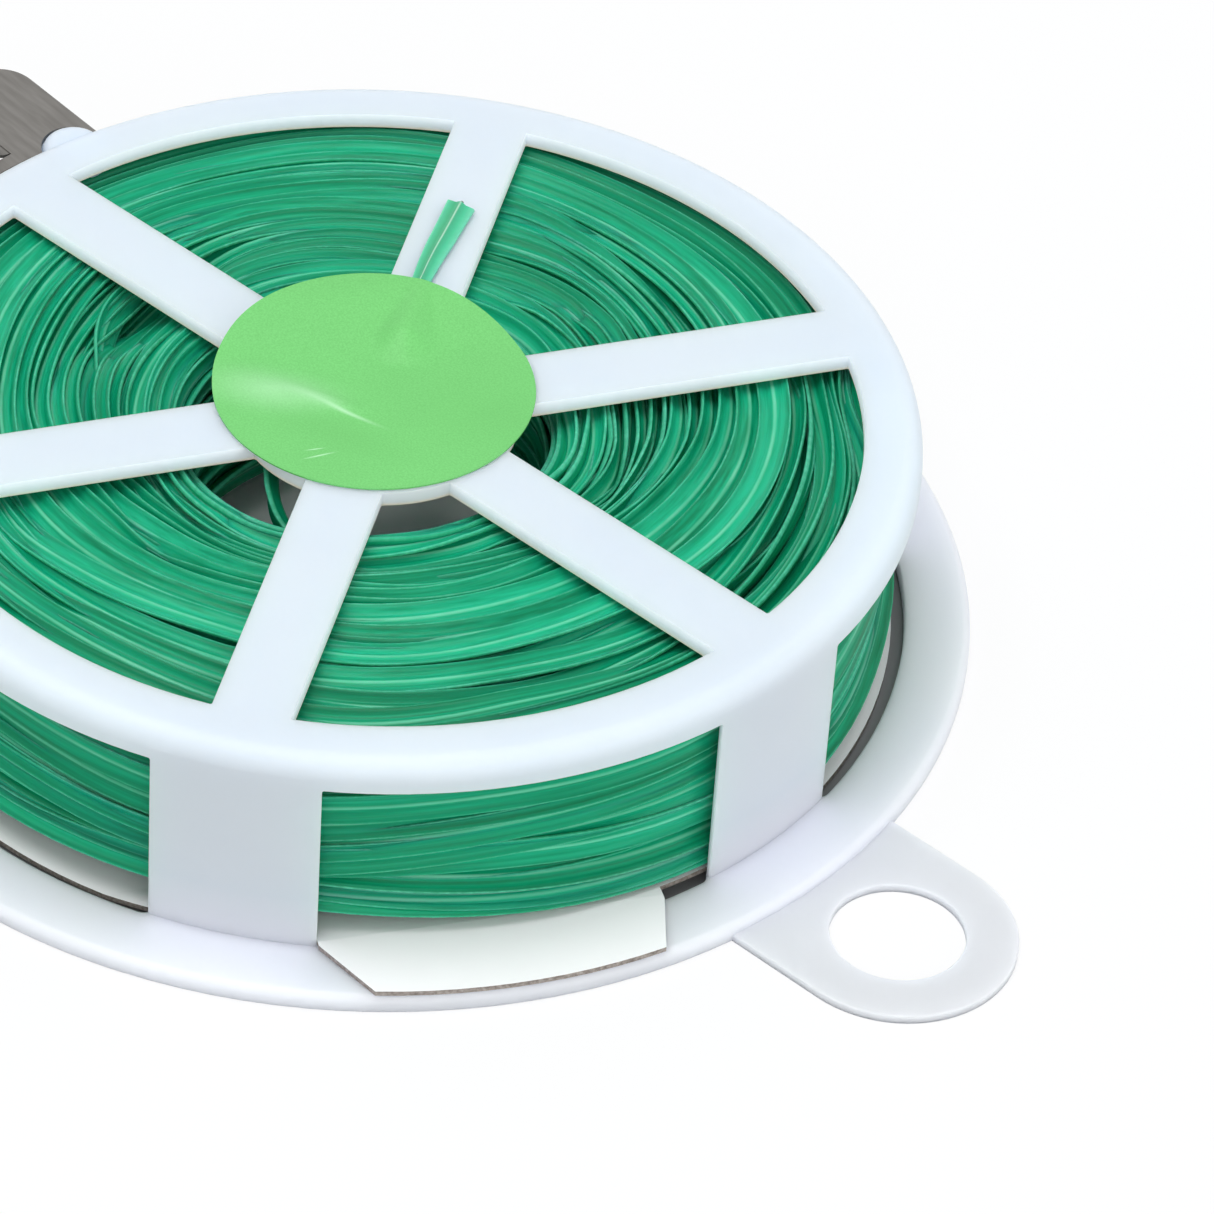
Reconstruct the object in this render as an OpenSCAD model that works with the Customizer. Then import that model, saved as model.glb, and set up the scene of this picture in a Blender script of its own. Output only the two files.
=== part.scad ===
// Flat reel of plastic-covered garden tie: an open moulded case with a loose coil of tie inside,
// a card closing its back, a sticker on its hub, a hanging lug, and a steel cutter on the far rim.
// The case is one moulding. Its ring, spokes, hub, posts, flange, lug and bosses are drawn as
// separate members that meet face to face, so that the windows between them stay open.
// Origin: the reel's axis, at the plane that the flange rests on. +X runs out along the lug.

/* [Case] */
// Outer radius of the upright wall
wall_r = 55; // [45:0.5:75]
// Height of the case over the plane that it rests on
case_h = 25.4; // [20:0.1:36]
// Thickness of the upright wall
wall_t = 0.9; // [0.7:0.05:1.2]
// Thickness of the top ring, the spokes and the hub
top_t = 1.75; // [1.4:0.05:2.2]
// Width of the top ring, measured in from the wall's outer face
ring_w = 6; // [4:0.25:9]
// Rounding of the top ring's outer edge
edge_round = 2.2; // [1:0.1:2.4]
// Height of the top ring's skirt, which ends where the side windows begin
skirt_h = 3.4; // [3:0.1:6]

/* [Spokes, posts and hub] */
// Number of spokes, and of posts under them
spoke_count = 6; // [4:2:8]
// Width of a spoke
spoke_w = 7.8; // [5:0.2:12]
// Width of a post across its outer face
post_w = 16.9; // [10:0.1:20]
// Radius of the hub
hub_r = 14.3; // [12:0.1:18]

/* [Flange and hanging lug] */
// Width of the flange outside the wall
flange_w = 6.8; // [5:0.1:12]
// Thickness of the flange
flange_t = 2; // [1.6:0.1:3]
// Rounding of the flange's upper edge
flange_round = 0.9; // [0.3:0.05:1]
// Rounding of the flange's lower edge
flange_foot_round = 0.4; // [0.2:0.05:0.5]
// Distance of the hanging hole's centre outside the flange
lug_reach = 9.8; // [8:0.1:16]
// Radius of the hanging hole
lug_hole_r = 6.7; // [3:0.05:7]
// Width of the lug round the hole
lug_rim_w = 5.15; // [3:0.1:8]
// Thickness of the lug
lug_t = 1; // [0.8:0.05:1.4]
// Rounding of the corners where the lug leaves the flange
lug_root_round = 1.5; // [0.5:0.1:3]

/* [Backing card] */
// Thickness of the card
card_t = 0.55; // [0.3:0.05:0.8]
// Height of the card's underside over the resting plane, between its folds
card_lift = 0.5; // [0.3:0.05:1]
// Gap between the card's edge and the wall
card_gap = 0.45; // [0.2:0.05:1]
// Distance of each fold line from the axis
card_fold = 40; // [30:0.5:42]
// Distance of a tab's side from the side of the window it passes through, with the card square
tab_play = 2.65; // [1:0.05:5]
// Distance of the tab's side from a post, once the card has turned towards it
tab_touch = 0.05; // [0.05:0.05:0.5]
// Taper of a tab's sides on the one side, from the wall to its outer end
tab_taper_a = 3.9; // [1:0.1:5]
// Taper of a tab's sides on the other side
tab_taper_b = 1.6; // [1:0.1:5]
// Width of flange left bare outside a tab
tab_margin = 0.4; // [0.2:0.1:2]

/* [Coil] */
// Radius of the coil's open middle
bore_r = 17.5; // [12:0.5:22]
// Diameter of the turn that winds round the coil
turn_d = 1.7; // [1.2:0.05:2.2]
// Least gap between neighbouring turns
turn_gap = 0.55; // [0.45:0.05:1.2]
// Radius at which the outermost turns roll over the coil's upper edge
coil_round = 3; // [2.5:0.1:4]
// Running gap between the coil and the wall
coil_gap = 0.65; // [0.4:0.05:1.5]
// Running gap between the coil and the top ring
coil_top_gap = 0.7; // [0.4:0.05:1.5]
// Running gap between the coil and the card's tabs
coil_floor_gap = 0.45; // [0.3:0.05:1]

/* [Sticker and loose end] */
// Radius of the round sticker
label_r = 16.3; // [13:0.1:20]
// Thickness of the sticker
label_t = 0.2; // [0.15:0.05:0.3]
// Place of the sticker's centre, along X
label_x = -1.9; // [-3:0.1:3]
// Place of the sticker's centre, along Y
label_y = 1.4; // [-3:0.1:3]
// Height of the sticker's underside over the loose end, where its edge is held up
label_lift = 1; // [0.2:0.1:2]
// Width of the tie
tie_w = 3.3; // [2.5:0.1:4]
// Thickness of the tie's flat wings
wing_t = 0.45; // [0.3:0.05:0.6]
// Radius of the bead along the tie's middle
bead_r = 0.45; // [0.35:0.05:0.55]
// Radius of the steel wire in the bead
wire_r = 0.2; // [0.15:0.01:0.25]
// Offset of the loose end from the middle of its spoke, at the axis
loose_side = 1.5; // [-2:0.1:2]
// Distance of the loose end's tip from the axis
tip_reach = 34; // [28:0.5:38]
// Length of the loose end, most of which the sticker shows
loose_len = 24; // [20:0.5:26]
// Bare wire showing past the loose end's cut
wire_show = 0.35; // [0.1:0.05:1]

/* [Cutter] */
// Width of the steel cutter plate outside each boss
plate_ear_w = 0.5; // [0.3:0.1:3]
// Length of the cutter plate out from the wall
plate_len = 13; // [11:0.1:18]
// Thickness of the cutter plate
plate_t = 0.6; // [0.4:0.05:0.8]
// Rounding of the plate's outer corners
plate_round = 4; // [1:0.1:5]
// Angle at which the plate rises outwards
plate_rise = 8; // [0:0.5:12]
// Depth of the plate's inner edge under the case's top
plate_drop = 1.5; // [1:0.1:3]
// Gap between the plate and the wall
plate_gap = 0.3; // [0.2:0.05:0.6]
// Radius of the bosses that hold the plate
boss_r = 3.3; // [2.8:0.1:4]
// Half the distance between the bosses
boss_y = 9; // [8.5:0.1:10]
// Width of the ledge round each boss, under the plate
ledge_w = 0.9; // [0.5:0.1:1.2]
// Height of each boss over the plate
boss_head_h = 0.95; // [0.6:0.05:1.4]
// Rounding of the top of each boss
boss_crown = 1.5; // [0.5:0.1:2]
// Length of the feed slot, and of the bridge over it
slot_len = 6.4; // [5:0.1:7]
// Width of the feed slot
slot_w = 3.4; // [2.6:0.1:4]
// Distance of the feed slot from the plate's inner edge
slot_offset = 1.6; // [1.2:0.1:2.5]
// Height of the bridge over the plate
bridge_h = 1.3; // [0.9:0.1:1.6]

/* [Hidden] */
$fn = 96;
spoke_step = 360 / spoke_count;

// Overrun of every cutting solid past what it cuts
over = 1;

white = [0.9, 0.93, 0.96];
card_white = [0.95, 0.95, 0.94];
tie_green = [0.16, 0.62, 0.45];
label_green = [0.52, 0.86, 0.53];
steel = [0.55, 0.55, 0.54];

// Case
wall_in_r = wall_r - wall_t;
ring_in_r = wall_r - ring_w;
top_z = case_h - top_t;
skirt_z = case_h - skirt_h;
post_half_deg = asin(post_w / 2 / wall_r);
window_half_w = wall_r * sin(spoke_step / 2 - post_half_deg);
flange_r = wall_r + flange_w;
lug_x = flange_r + lug_reach;
lug_r = lug_hole_r + lug_rim_w;
lug_root_seat = 0.03;

// Backing card: flat in the middle, raised past each fold until its tabs lie on the flange
card_r = wall_in_r - card_gap;
tab_r = flange_r - tab_margin;
card_low_top = card_lift + card_t;
card_high_top = flange_t + card_t;
card_fold_in = 1.5;
card_raised = card_r - card_fold_in;
tab_half_w = window_half_w - tab_play;
card_turn = asin((window_half_w - tab_touch) / wall_r) - asin(tab_half_w / wall_r);
tab_deg = -spoke_step / 2 - card_turn;
tab_bend_in = 2.3;
tab_bend_x = wall_r - tab_bend_in;

// Coil: the turn's centre follows a profile out over the top, round the edge and down the side
turn_r = turn_d / 2;
turn_flat = turn_r * cos(30);
coil_r = wall_in_r - coil_gap;
coil_top = top_z - coil_top_gap;
coil_bottom = card_high_top + coil_floor_gap;
bore_clear = 0.3;
path_in_r = bore_r + turn_r + bore_clear;
path_out_r = coil_r - turn_r;
path_top_z = coil_top - turn_flat;
path_low_z = coil_bottom + turn_r;
path_flat = path_out_r - coil_round - path_in_r;
path_arc = coil_round * PI / 2;
path_len = path_flat + path_arc + path_top_z - coil_round - path_low_z;
max_turns = 24;
turns = min(max_turns, floor(path_len / (turn_d + turn_gap)));
turn_pitch = path_len / turns;
ring_steps = 24;
sides = 6;
core_r = path_out_r * cos(180 / ring_steps) - turn_r;
core_top = path_top_z - turn_flat;
core_bottom = coil_bottom;

// Sticker and loose end: the sticker's free edge tents over the end that it holds
loose_spoke = 3;
loose_deg = (loose_spoke - 1) * spoke_step;
loose_tilt = 3.1;
bead_lift = 0.05;
bead_z = bead_r + bead_lift;
tent_side = 8.3;
tent_half_w = tie_w / 2 + tent_side;
tent_h = bead_z + bead_r + label_lift + label_t;
tent_r = (tent_half_w * tent_half_w + tent_h * tent_h) / (2 * tent_h);
tent_end = tip_reach - loose_len;

// Cutter: the plate is drawn flat, its inner edge at x = 0, then tilted and moved to the wall
plate_z = case_h - plate_drop - plate_t;
plate_x = wall_r + plate_gap;
boss_inset = 1.6;
boss_x = wall_r - boss_inset;
ledge_r = boss_r + ledge_w;
notch_gap = 0.1;
plate_half_w = boss_y + boss_r + notch_gap + plate_ear_w;
slot_x = slot_offset + slot_w / 2;
bridge_side = 0.2;
bridge_w = slot_w - 2 * bridge_side;
bridge_grip = 0.5;
bridge_skin = 0.08;

// ---- Case ----

// The wall's and ring's outer face as a solid of revolution, which what stands outside them meets
module wall_envelope() {
    rotate_extrude()
        union() {
            square([wall_r, case_h - edge_round]);
            square([wall_r - edge_round, case_h]);
            translate([wall_r - edge_round, case_h - edge_round]) circle(r = edge_round);
        }
}

module ring_profile() {
    difference() {
        union() {
            translate([ring_in_r, skirt_z])
                square([ring_w, skirt_h - edge_round]);
            translate([ring_in_r, skirt_z])
                square([ring_w - edge_round, skirt_h]);
            translate([wall_r - edge_round, case_h - edge_round])
                intersection() {
                    circle(r = edge_round);
                    square([edge_round, edge_round]);
                }
        }
        translate([0, skirt_z - over]) square([wall_in_r, skirt_h - top_t + over]);
    }
}

module top_ring() {
    color(white) rotate_extrude() ring_profile();
}

module hub_disc() {
    color(white) translate([0, 0, top_z]) cylinder(r = hub_r, h = top_t);
}

module spoke(i) {
    color(white)
        rotate([0, 0, (i - 1) * spoke_step])
            difference() {
                intersection() {
                    translate([0, -spoke_w / 2, top_z]) cube([wall_r, spoke_w, top_t]);
                    translate([0, 0, top_z]) cylinder(r = ring_in_r, h = top_t);
                }
                translate([0, 0, top_z - over]) cylinder(r = hub_r, h = top_t + 2 * over);
            }
}

// A side window: its sides are parallel, as the slide that moulds it draws straight out
module window_cut() {
    translate([0, -window_half_w, -over])
        cube([2 * wall_r, 2 * window_half_w, case_h + 2 * over]);
}

module post(i) {
    color(white)
        rotate([0, 0, (i - 1) * spoke_step])
            difference() {
                rotate([0, 0, -spoke_step / 2])
                    rotate_extrude(angle = spoke_step)
                        translate([wall_in_r, 0]) square([wall_t, skirt_z]);
                rotate([0, 0, spoke_step / 2]) window_cut();
                rotate([0, 0, -spoke_step / 2]) window_cut();
            }
}

module flange_profile(in_r) {
    low = flange_foot_round;
    high = flange_round;
    union() {
        translate([in_r, 0]) square([flange_r - high - in_r, flange_t]);
        translate([in_r, low]) square([flange_r - in_r, flange_t - high - low]);
        translate([in_r, 0]) square([flange_r - low - in_r, flange_t - high]);
        translate([flange_r - high, flange_t - high]) circle(r = high);
        translate([flange_r - low, low]) circle(r = low);
    }
}

module base_flange() {
    color(white) rotate_extrude() flange_profile(wall_r);
}

// Rounded corner between the flange's rim and one side of the lug
module lug_root(side) {
    root_y = lug_r + lug_root_round;
    root_r = flange_r + lug_root_round - lug_root_seat;
    root_x = sqrt(root_r * root_r - root_y * root_y);
    rim_x = sqrt(flange_r * flange_r - lug_r * lug_r);
    rim = flange_r / root_r;
    mirror([0, side, 0])
        difference() {
            polygon([
                [rim_x - lug_root_round, lug_r - over],
                [root_x, lug_r - over],
                [root_x, lug_r],
                [root_x, root_y],
                [root_x * rim, root_y * rim],
                [rim_x - lug_root_round, root_y * rim]
            ]);
            translate([root_x, root_y]) circle(r = lug_root_round);
        }
}

module hanging_lug() {
    color(white)
        difference() {
            linear_extrude(lug_t)
                difference() {
                    union() {
                        translate([wall_r, -lug_r]) square([lug_x - wall_r, 2 * lug_r]);
                        translate([lug_x, 0]) circle(r = lug_r);
                        lug_root(0);
                        lug_root(1);
                    }
                    translate([lug_x, 0]) circle(r = lug_hole_r);
                }
            rotate_extrude() flange_profile(0);
        }
}

// ---- Cutter ----

// Places its children on the tilted plane of the plate's underside, with x running out from the wall
module on_plate() {
    translate([-plate_x, 0, plate_z]) rotate([0, plate_rise, 0]) mirror([1, 0, 0]) children();
}

// Half-round boss on the outside of the wall: a ledge that the plate lies on, and a head it fits round
module cutter_boss(side) {
    color(white)
        difference() {
            union() {
                intersection() {
                    translate([-boss_x, side * boss_y, flange_t])
                        cylinder(r = ledge_r, h = case_h);
                    on_plate() translate([-3 * boss_r, -2 * plate_half_w, -2 * case_h])
                        cube([8 * boss_r, 4 * plate_half_w, 2 * case_h]);
                }
                translate([-boss_x, side * boss_y, flange_t])
                    boss_head(plate_z + plate_t + boss_head_h - flange_t);
            }
            wall_envelope();
        }
}

module boss_head(h) {
    rotate_extrude()
        union() {
            square([boss_r, h - boss_crown]);
            square([boss_r - boss_crown, h]);
            translate([boss_r - boss_crown, h - boss_crown])
                intersection() {
                    circle(r = boss_crown);
                    square([boss_crown, boss_crown]);
                }
        }
}

module plate_outline() {
    inner = -wall_r;
    union() {
        translate([inner, -plate_half_w])
            square([plate_len - plate_round - inner, 2 * plate_half_w]);
        translate([inner, -(plate_half_w - plate_round)])
            square([plate_len - inner, 2 * (plate_half_w - plate_round)]);
        for (side = [-1, 1])
            translate([plate_len - plate_round, side * (plate_half_w - plate_round)])
                circle(r = plate_round);
    }
}

// Height of the bridge's underside over the plate's, at a distance y from the middle of the slot
function bridge_rise(y) = bridge_h * (1 + cos(360 * y / slot_len)) / 2;

// A strip lanced up out of the plate, over the slot that the tie is fed through. Its ends run on
// into the plate, just inside its two faces.
module bridge() {
    steps = 16;
    rise = [for (k = [0:steps]) let (y = (k / steps - 0.5) * slot_len) [y, bridge_rise(y)]];
    foot = slot_len / 2 + bridge_grip;
    low = concat([[-foot, 0]], rise, [[foot, 0]]);
    last = len(low) - 1;
    section = concat(
        [for (p = low) p + [0, bridge_skin]],
        [for (k = [last:-1:0]) low[k] + [0, plate_t - bridge_skin]]
    );
    translate([slot_x - bridge_w / 2, 0, 0])
        rotate([90, 0, 90]) linear_extrude(bridge_w) polygon(section);
}

module cutter_plate() {
    color(steel)
        union() {
            difference() {
                on_plate() linear_extrude(plate_t) plate_outline();
                on_plate() translate([slot_offset, -slot_len / 2, -over])
                    cube([slot_w, slot_len, plate_t + 2 * over]);
                translate([0, 0, -over]) cylinder(r = plate_x, h = 2 * case_h);
                for (side = [-1, 1])
                    translate([-boss_x, side * boss_y, 0])
                        cylinder(r = boss_r + notch_gap, h = 2 * case_h);
            }
            on_plate() bridge();
        }
}

// ---- Backing card ----

// Outline of one tab from the fold outwards, x along the middle of the tab
module tab_outline() {
    end_a = tab_half_w - tab_taper_a;
    end_b = tab_half_w - tab_taper_b;
    intersection() {
        circle(r = tab_r);
        polygon([
            [card_fold, -tab_half_w],
            [tab_bend_x, -tab_half_w],
            [sqrt(tab_r * tab_r - end_a * end_a), -end_a],
            [tab_r + over, -end_a],
            [tab_r + over, end_b],
            [sqrt(tab_r * tab_r - end_b * end_b), end_b],
            [tab_bend_x, tab_half_w],
            [card_fold, tab_half_w]
        ]);
    }
}

// The bent sheet seen from its edge
module card_section() {
    polygon([
        [-tab_r - over, flange_t],
        [-card_raised, flange_t],
        [-card_fold, card_lift],
        [card_fold, card_lift],
        [card_raised, flange_t],
        [tab_r + over, flange_t],
        [tab_r + over, card_high_top],
        [card_raised, card_high_top],
        [card_fold, card_low_top],
        [-card_fold, card_low_top],
        [-card_raised, card_high_top],
        [-tab_r - over, card_high_top]
    ]);
}

module backing_card() {
    color(card_white)
        rotate([0, 0, tab_deg])
            intersection() {
                linear_extrude(card_high_top + over)
                    union() {
                        circle(r = card_r);
                        tab_outline();
                        rotate([0, 0, 180]) tab_outline();
                    }
                rotate([90, 0, 0])
                    linear_extrude(2 * wall_r, center = true) card_section();
            }
}

// ---- Sticker and loose end ----

module on_loose_spoke() {
    translate([0, 0, case_h])
        rotate([0, 0, loose_deg])
            translate([0, loose_side, 0]) rotate([0, 0, -loose_tilt]) children();
}

// The broad hump that the sticker makes over the loose end, drawn with radius r
module tent(r) {
    on_loose_spoke()
        translate([tent_end, 0, tent_h - tent_r])
            union() {
                rotate([0, 90, 0]) cylinder(r = r, h = 2 * label_r);
                sphere(r = r);
            }
}

module hub_label() {
    color(label_green)
        difference() {
            intersection() {
                translate([label_x, label_y, case_h]) cylinder(r = label_r, h = 4 * tent_h);
                union() {
                    cylinder(r = 3 * label_r, h = case_h + label_t);
                    tent(tent_r);
                }
            }
            tent(tent_r - label_t);
        }
}

module tie_section() {
    difference() {
        union() {
            translate([-tie_w / 2, 0]) square([tie_w, wing_t]);
            translate([0, bead_z]) circle(r = bead_r);
        }
        translate([0, bead_z]) circle(r = wire_r);
    }
}

module loose_tie_end() {
    color(tie_green)
        on_loose_spoke()
            translate([tip_reach, 0, 0])
                rotate([90, 0, -90]) linear_extrude(loose_len) tie_section();
}

module loose_tie_wire() {
    color(steel)
        on_loose_spoke()
            translate([tip_reach - loose_len, 0, bead_z])
                rotate([0, 90, 0]) cylinder(r = wire_r, h = loose_len + wire_show);
}

// ---- Coil ----

module coil_core() {
    round_r = coil_round;
    color(tie_green)
        rotate_extrude()
            union() {
                translate([bore_r, core_bottom])
                    square([core_r - bore_r, core_top - round_r - core_bottom]);
                translate([bore_r, core_bottom])
                    square([core_r - round_r - bore_r, core_top - core_bottom]);
                translate([core_r - round_r, core_top - round_r]) circle(r = round_r);
            }
}

// Radius and height of the turn's centre, at a length s along its profile
function profile(s) =
    s < path_flat
        ? [path_in_r + s, path_top_z]
        : s < path_flat + path_arc
            ? let (a = (s - path_flat) / coil_round * 180 / PI)
                [path_out_r - coil_round * (1 - sin(a)), path_top_z - coil_round * (1 - cos(a))]
            : [path_out_r, path_top_z - coil_round - (s - path_flat - path_arc)];

// A ring of the turn: its centre, its direction out from the axis, and its direction along the turn
function turn_ring(k) =
    let (a = k * 360 / ring_steps, p = profile(k * turn_pitch / ring_steps))
    [[p[0] * cos(a), p[0] * sin(a), p[1]], [cos(a), sin(a), 0], [-sin(a), cos(a), 0]];

function moved_ring(ring, d) = [ring[0] + ring[2] * d, ring[1], ring[2]];

ring_count = turns * ring_steps + 1;
winding = [for (k = [0:ring_count - 1]) turn_ring(k)];
straight_ended = concat(
    [moved_ring(winding[0], -turn_d)],
    winding,
    [moved_ring(winding[ring_count - 1], turn_d)]
);

// Least distance between the turn's centre and the same turn about one loop further on, less a diameter
least_gap = min([
    for (i = [0:len(straight_ended) - 1])
        for (j = [i + ring_steps / 2:min(i + 3 * ring_steps / 2, len(straight_ended) - 1)])
            norm(straight_ended[j][0] - straight_ended[i][0])
]) - turn_d;
echo(turns = turns, turn_pitch = turn_pitch, least_gap_mm = least_gap);

module tube(rings) {
    last = len(rings) - 1;
    points = [
        for (ring = rings)
            for (j = [0:sides - 1])
                ring[0] + turn_r * (cos(j * 360 / sides) * ring[1] + [0, 0, sin(j * 360 / sides)])
    ];
    skin = [
        for (i = [0:last - 1])
            for (j = [0:sides - 1])
                let (a = i * sides + j, b = i * sides + (j + 1) % sides)
                    each [[a, b, b + sides], [a, b + sides, a + sides]]
    ];
    ends = [
        for (j = [1:sides - 2])
            each [[0, j + 1, j], [last * sides, last * sides + j, last * sides + j + 1]]
    ];
    polyhedron(points, concat(skin, ends), convexity = 20);
}

module coil_winding() {
    color(tie_green) tube(straight_ended);
}

// ---- Nodes ----

top_ring();
hub_disc();
for (i = [1:spoke_count]) {
    spoke(i);
    post(i);
}
base_flange();
hanging_lug();
cutter_boss(1);  // cutter_boss_1
cutter_boss(-1);  // cutter_boss_2
cutter_plate();
backing_card();
hub_label();
loose_tie_end();
loose_tie_wire();
coil_core();
coil_winding();
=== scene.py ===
"""Looks of a flat reel of plastic-covered garden tie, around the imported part.
Metres, +Z up along the reel's axis, the hanging lug along +X."""
import math

import bpy
import bmesh
import numpy as np
from mathutils import Matrix, Vector


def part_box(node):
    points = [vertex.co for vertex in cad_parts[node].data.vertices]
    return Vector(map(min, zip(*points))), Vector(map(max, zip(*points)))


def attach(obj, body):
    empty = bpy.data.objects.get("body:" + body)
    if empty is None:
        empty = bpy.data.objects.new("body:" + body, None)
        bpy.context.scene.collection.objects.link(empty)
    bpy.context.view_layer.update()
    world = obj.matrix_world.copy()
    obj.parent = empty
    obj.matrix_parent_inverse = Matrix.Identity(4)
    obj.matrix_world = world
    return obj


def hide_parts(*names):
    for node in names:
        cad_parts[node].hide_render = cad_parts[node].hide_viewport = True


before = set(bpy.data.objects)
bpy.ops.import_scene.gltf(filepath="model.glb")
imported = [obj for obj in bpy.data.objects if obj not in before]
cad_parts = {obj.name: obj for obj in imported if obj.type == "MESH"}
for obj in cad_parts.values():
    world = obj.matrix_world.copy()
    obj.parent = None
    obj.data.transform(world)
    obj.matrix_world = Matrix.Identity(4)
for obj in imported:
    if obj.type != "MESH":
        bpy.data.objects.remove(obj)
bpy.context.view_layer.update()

MM = 0.001
rng = np.random.default_rng(7)

# ---------------------------------------------------------------- sizes from the frame
ring_low, ring_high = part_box("top_ring")
hub_low, hub_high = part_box("hub_disc")
winding_low, winding_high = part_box("coil_winding")
label_low, label_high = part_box("hub_label")
flange_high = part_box("base_flange")[1]
lug_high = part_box("hanging_lug")[1]
post_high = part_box("post_1")[1]
boss_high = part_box("cutter_boss_1")[1]

CASE_H = ring_high.z
WALL_R = post_high.x
SKIRT_Z = ring_low.z
TOP_Z = hub_low.z
HUB_R = hub_high.x
FLANGE_R = flange_high.x
FLANGE_T = flange_high.z
LUG_T = lug_high.z
POST_HALF_W = post_high.y
COIL_R = winding_high.x
COIL_TOP = winding_high.z
COIL_LOW = winding_low.z

# ---------------------------------------------------------------- sizes that the frame doesn't give
WALL_T = 0.9 * MM
RING_W = 6 * MM
EDGE_ROUND = 2.2 * MM
INNER_FILLET = 0.6 * MM
PLASTIC_EDGE = 0.16 * MM
SPOKE_W = 7.8 * MM
SPOKES = 6
LUG_HOLE_R = 6.7 * MM
LUG_RIM_W = 5.15 * MM
BOSS_AT = (-(WALL_R - 1.6 * MM), 9 * MM)
LABEL_T = 0.2 * MM
TIE_W = 3.3 * MM
EYE_R = 17.5 * MM
TIE_END_DEG = 120

SPOKE_STEP = 360 / SPOKES
WALL_IN_R = WALL_R - WALL_T
RING_IN_R = WALL_R - RING_W
UNDER_POSTS_R = WALL_R + 3 * MM
LUG_R = LUG_HOLE_R + LUG_RIM_W
LUG_X = lug_high.x - LUG_R


# ---------------------------------------------------------------- helpers
def link(name, mesh):
    """A new object in the scene."""
    piece = bpy.data.objects.new(name, mesh)
    bpy.context.scene.collection.objects.link(piece)
    return piece


def mesh_from(name, points, faces):
    """A mesh from points and from lists of their indices."""
    mesh = bpy.data.meshes.new(name)
    mesh.from_pydata([tuple(p) for p in points], [], [tuple(int(i) for i in f) for f in faces])
    mesh.update()
    return mesh


def smooth(piece, degrees=35):
    """Smooth shading, with edges sharper than the angle left hard."""
    mesh = piece.data
    mesh.shade_smooth()
    mesh.set_sharp_from_angle(angle=math.radians(degrees))


def apply_modifiers(piece):
    """Puts the piece's modifiers into its mesh."""
    graph = bpy.context.evaluated_depsgraph_get()
    done = bpy.data.meshes.new_from_object(piece.evaluated_get(graph))
    old = piece.data
    piece.modifiers.clear()
    piece.data = done
    bpy.data.meshes.remove(old)


def bevel(piece, width, segments, degrees):
    """Rounds the edges that are sharper than the angle."""
    modifier = piece.modifiers.new("edge", "BEVEL")
    modifier.width = width
    modifier.segments = segments
    modifier.limit_method = "ANGLE"
    modifier.angle_limit = math.radians(degrees)
    modifier.miter_outer = "MITER_ARC"
    apply_modifiers(piece)


def face_outwards(piece):
    """Turns all faces to look out of the solid."""
    work = bmesh.new()
    work.from_mesh(piece.data)
    bmesh.ops.recalc_face_normals(work, faces=work.faces)
    work.to_mesh(piece.data)
    work.free()


def polar(radius, degrees, z):
    """A point at a radius and an angle about the reel's axis."""
    a = math.radians(degrees)
    return (radius * math.cos(a), radius * math.sin(a), z)


def arc(centre_r, centre_z, radius, start, end, steps):
    """Points (r, z) on an arc, from one angle to another in degrees, 0 pointing outwards and 90 up."""
    angles = np.radians(np.linspace(start, end, steps + 1))
    return [(centre_r + radius * math.cos(a), centre_z + radius * math.sin(a)) for a in angles]


def band(a, b, n):
    """Faces between two closed rows of n points, which start at the indices a and b."""
    return [(a + k, a + (k + 1) % n, b + (k + 1) % n, b + k) for k in range(n)]


def revolve(name, profile, steps, centre):
    """A solid of revolution about a vertical axis, from a profile that starts and ends on the axis."""
    points = []
    for r, z in profile[1:-1]:
        for k in range(steps):
            a = 2 * math.pi * k / steps
            points.append((centre[0] + r * math.cos(a), centre[1] + r * math.sin(a), z))
    rows = len(profile) - 2
    faces = []
    for i in range(rows - 1):
        faces += band(i * steps, (i + 1) * steps, steps)
    first, last = len(points), len(points) + 1
    points.append((centre[0], centre[1], profile[0][1]))
    points.append((centre[0], centre[1], profile[-1][1]))
    for k in range(steps):
        m = (k + 1) % steps
        faces.append((first, m, k))
        faces.append((last, (rows - 1) * steps + k, (rows - 1) * steps + m))
    piece = link(name, mesh_from(name, points, faces))
    face_outwards(piece)
    return piece


def loop_normals(loop):
    """Unit normals in the plane, pointing out of a loop that runs anticlockwise."""
    before = np.roll(loop, 1, axis=0)
    after = np.roll(loop, -1, axis=0)
    a = loop - before
    b = after - loop
    a /= np.linalg.norm(a, axis=1)[:, None]
    b /= np.linalg.norm(b, axis=1)[:, None]
    t = a + b
    t /= np.linalg.norm(t, axis=1)[:, None]
    n = np.stack([t[:, 1], -t[:, 0]], axis=1)
    stretch = 1 / np.clip((n * np.stack([a[:, 1], -a[:, 0]], axis=1)).sum(1), 0.5, 1)
    return n * stretch[:, None]


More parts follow.
